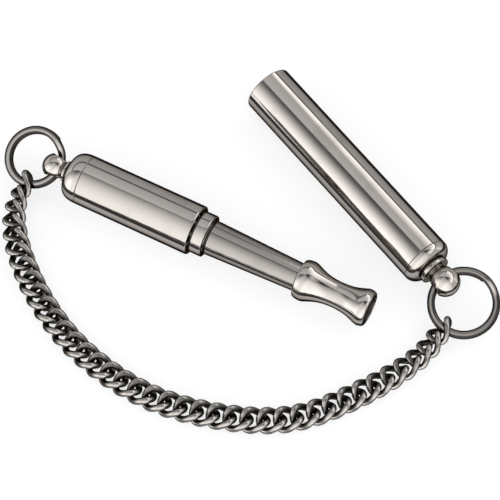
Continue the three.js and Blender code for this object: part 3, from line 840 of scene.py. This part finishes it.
def newTree(name, inputs):
    tree = bpy.data.node_groups.new(name, "GeometryNodeTree")
    tree.interface.new_socket("Geometry", in_out="OUTPUT", socket_type="NodeSocketGeometry")
    for label in inputs:
        tree.interface.new_socket(label, in_out="INPUT", socket_type="NodeSocketFloat")
    sheet = Sheet(tree)
    entry = sheet.add("NodeGroupInput")
    return tree, sheet, {label: Wire(sheet, entry.outputs[label]) for label in inputs}


def circleCurve(sheet, steps, radius):
    circle = sheet.add("GeometryNodeCurvePrimitiveCircle", {"mode": "RADIUS"}, {
        "Resolution": steps, "Radius": radius,
    })
    return circle.outputs[0]


def sweepWire(sheet, curve, section, caps):
    wire = sheet.add("GeometryNodeCurveToMesh", None, {
        "Curve": curve, "Profile Curve": section, "Fill Caps": caps,
    })
    return wire.outputs[0]


def closeTree(sheet, shape, mark, value, material):
    # keeps a value on the points for the material, then realizes and dresses the shape
    marked = sheet.add("GeometryNodeStoreNamedAttribute", {"data_type": "FLOAT", "domain": "POINT"}, {
        "Geometry": shape, "Name": mark, "Value": value,
    })
    real = sheet.add("GeometryNodeRealizeInstances", None, {"Geometry": marked.outputs[0]})
    dressed = sheet.add("GeometryNodeSetMaterial", None, {"Geometry": real.outputs[0], "Material": material})
    smooth = sheet.add("GeometryNodeSetShadeSmooth", None, {"Geometry": dressed.outputs[0]})
    sheet.add("NodeGroupOutput", None, {"Geometry": smooth.outputs[0]})


def growMesh(name, tree, values):
    holder = bpy.data.objects.new(name, bpy.data.meshes.new(name))
    bpy.context.scene.collection.objects.link(holder)
    grow = holder.modifiers.new("grow", "NODES")
    grow.node_group = tree
    for item in tree.interface.items_tree:
        if item.in_out == "INPUT":
            grow[item.identifier] = values[item.name]
    bpy.context.view_layer.update()
    seen = holder.evaluated_get(bpy.context.evaluated_depsgraph_get())
    mesh = bpy.data.meshes.new_from_object(seen)
    bpy.data.objects.remove(holder)
    return mesh


# Curb link: an oval of wire whose bows lean opposite ways
curbLink = {
    "wire": 1.3, "endWire": 1.16, "endLinks": 4, "easeLinks": 4, "middleWidth": 3.85, "bowReach": 1.51,
    "rise": 1.05, "firstRoll": 66, "lastRoll": 54, "rollStep": 9, "endStretch": 0.3, "steps": 56, "sides": 16,
}
paintedLightShape = {"reachFrom": 0.75, "reachShare": 0.8, "heightFrom": 0.5, "heightShare": 0.45, "edge": (0.12, 0.95)}


def linkTree(material):
    tree, sheet, size = newTree("curbLinkTree", ["Half length", "Half width", "Rise", "Wire radius"])
    angle = sheet.wire("GeometryNodeSplineParameter", "Factor") * (2 * math.pi)
    bent = sheet.add("GeometryNodeSetPosition", None, {
        "Geometry": circleCurve(sheet, curbLink["steps"], 1.0),
        "Position": sheet.vector(
            angle.cosine() * size["Half length"],
            angle.sine() * size["Half width"],
            (angle * 2).sine() * size["Rise"] * -1,
        ),
    })
    section = circleCurve(sheet, curbLink["sides"], size["Wire radius"])
    wire = sweepWire(sheet, bent.outputs[0], section, False)
    # painted light: highlight on the loop's outside and on the risen bows, shade on the inside where links
    # nest
    x, y, z = sheet.parts(sheet.wire("GeometryNodeInputPosition", "Position"))
    across, over = x / size["Half length"], y / size["Half width"]
    reach = across * across + over * over  # 1 on the wire's middle line, more outside it
    height = abs(z) / size["Rise"]
    outside = (reach - paintedLightShape["reachFrom"]) * paintedLightShape["reachShare"]
    raised = (height - paintedLightShape["heightFrom"]) * paintedLightShape["heightShare"]
    closeTree(sheet, wire, "rub", (outside + raised).step(*paintedLightShape["edge"]), material)
    return tree


def linkPlaces():
    names = sorted(name for name in frame["nodes"] if name.startswith("chain_link_"))
    bodies = [name.replace("chain_", "") for name in names]
    hinges = {joint["child"]: Vector(joint["pos_m"]) for joint in frame["joints"]}
    count = len(names)
    places = []
    for i, (name, body) in enumerate(zip(names, bodies)):
        corners = [v.co for v in frame["nodes"][name].data.vertices]
        centre = sum(corners, Vector()) / len(corners)
        along = hinges[bodies[i + 1]] - centre if i < count - 1 else centre - hinges[body]
        along.normalize()
        across = Vector((0, 0, 1)).cross(along).normalized()
        up = along.cross(across)
        roll = max(0, curbLink["firstRoll"] - curbLink["rollStep"] * i)
        roll -= max(0, curbLink["lastRoll"] - curbLink["rollStep"] * (count - 1 - i))
        turn = Matrix((along, across, up)).transposed() @ Matrix.Rotation(math.radians(roll), 3, "X")
        places.append((name, body, Matrix.Translation(centre) @ turn.to_4x4()))
    return places


def linkWire(fromEnd):
    # the links that bend most, near the rings, have slimmer wire
    ease = min(1, max(0, (fromEnd - curbLink["endLinks"] + 1) / curbLink["easeLinks"]))
    return curbLink["endWire"] + (curbLink["wire"] - curbLink["endWire"]) * ease


def buildChain():
    places = linkPlaces()
    inner = [place.translation for name, body, place in places[1:-1]]
    pitch = sum((b - a).length for a, b in zip(inner, inner[1:])) / (len(inner) - 1)
    tree = linkTree(chainMetal)
    for i, (name, body, place) in enumerate(places):
        fromEnd = min(i, len(places) - 1 - i)
        stretch = 0 if fromEnd else curbLink["endStretch"]
        mesh = growMesh(name, tree, {
            "Half length": (pitch + (curbLink["bowReach"] + stretch) * mm) / 2,
            "Half width": curbLink["middleWidth"] / 2 * mm,
            "Rise": curbLink["rise"] * mm,
            "Wire radius": linkWire(fromEnd) / 2 * mm,
        })
        mesh.transform(place)
        addPiece(name + "_wire", mesh, chainMetal, body, "chain_nickel", name)
    print("chain of", len(places), "links, pitch", round(pitch / mm, 3), "mm")


buildChain()


# Split rings: two turns of flat wire that change layers at one lap
splitRing = {
    "band": 1.5, "height": 0.6, "gap": 0.43, "lap": 40, "endGap": 8, "steps": 190, "sides": 20,
    "soiledEdge": (0.1, 0.58),
}
whistleRing = {
    "radius": 5.35, "start": -120, "swing": "whistle_ring_swing", "grip": "link_01_on_ring",
    "body": "whistle_ring", "node": "whistle_split_ring",
}
capRing = {
    "radius": 6.2, "start": 100, "swing": "cap_swing", "grip": "cap_ring_on_link",
    "body": "cap_ring", "node": "cap_split_ring",
}


def ringTree(material):
    tree, sheet, size = newTree("splitRingTree", [
        "Radius", "Band", "Height", "Layer", "Start", "Sweep", "Lap",
    ])
    line = sheet.add("GeometryNodeMeshLine", {"mode": "OFFSET"}, {"Count": splitRing["steps"] + 1})
    gone = sheet.wire("GeometryNodeInputIndex", "Index") * size["Sweep"] / splitRing["steps"]
    climb = gone.step(2 * math.pi - size["Lap"], 2 * math.pi)
    angle = gone + size["Start"]
    bent = sheet.add("GeometryNodeSetPosition", None, {
        "Geometry": line.outputs[0],
        "Position": sheet.vector(
            angle.cosine() * size["Radius"],
            angle.sine() * size["Radius"],
            (climb - 0.5) * size["Layer"],
        ),
    })
    curve = sheet.add("GeometryNodeMeshToCurve", None, {"Mesh": bent.outputs[0]})
    level = sheet.add("GeometryNodeSetCurveNormal", {"mode": "Z_UP"}, {"Curve": curve.outputs[0]})
    section = sheet.add("GeometryNodeTransform", None, {
        "Geometry": circleCurve(sheet, splitRing["sides"], 0.5),  # 1 across, so its scale is the wire's size
        "Scale": sheet.vector(size["Band"], size["Height"], 1.0),
    })
    wire = sweepWire(sheet, level.outputs[0], section.outputs[0], True)
    x, y = sheet.parts(sheet.wire("GeometryNodeInputPosition", "Position"))[:2]
    offset = (x * x + y * y) ** 0.5 - size["Radius"]
    # painted shade towards both edges of the band, darkest at its rims
    darkening = (abs(offset) / size["Band"] * 2).step(*splitRing["soiledEdge"])
    closeTree(sheet, wire, "soil", darkening, material)
    return tree


def ringPlace(swing, grip, radius):
    tangent, side = Vector(grip["axis"]), Vector(swing["axis"]).normalized()
    normal = tangent.cross(side).normalized()
    if normal.z < 0:
        normal = -normal
    away = side.cross(normal)
    outward = tangent.cross(normal).normalized()
    centre = Vector(grip["pos_m"]) - outward * radius * mm
    return Matrix.Translation(centre) @ Matrix((away, side, normal)).transposed().to_4x4()


def buildRing(name, tree, ring):
    mesh = growMesh(name, tree, {
        "Radius": ring["radius"] * mm,
        "Band": splitRing["band"] * mm,
        "Height": splitRing["height"] * mm,
        "Layer": (splitRing["height"] + splitRing["gap"]) * mm,
        "Start": math.radians(ring["start"]),
        "Sweep": math.radians(720 - splitRing["lap"] - splitRing["endGap"]),
        "Lap": math.radians(splitRing["lap"]),
    })
    mesh.transform(ringPlace(joints[ring["swing"]], joints[ring["grip"]], ring["radius"]))
    mesh.set_sharp_from_angle(angle=math.radians(turning["sharpDegrees"]))
    addPiece(name, mesh, ringPlate, ring["body"], "polished_nickel", ring["node"])


ringWire = ringTree(ringPlate)
buildRing("whistleRingFine", ringWire, whistleRing)
buildRing("capRingFine", ringWire, capRing)
print("split rings wound")


# Pieces shut up inside keep their solids
innerFinish = {
    "guide_bush": innerBrass, "gland_nut": innerBrass, "piston_rod": innerBrass, "windway_plug": innerBrass,
    "piston_seal": oiledLeather, "rod_packing": greyFelt,
}
for node, material in innerFinish.items():
    mesh = frame["nodes"][node].data
    mesh.materials.clear()
    mesh.materials.append(material)
print("inner pieces dressed")
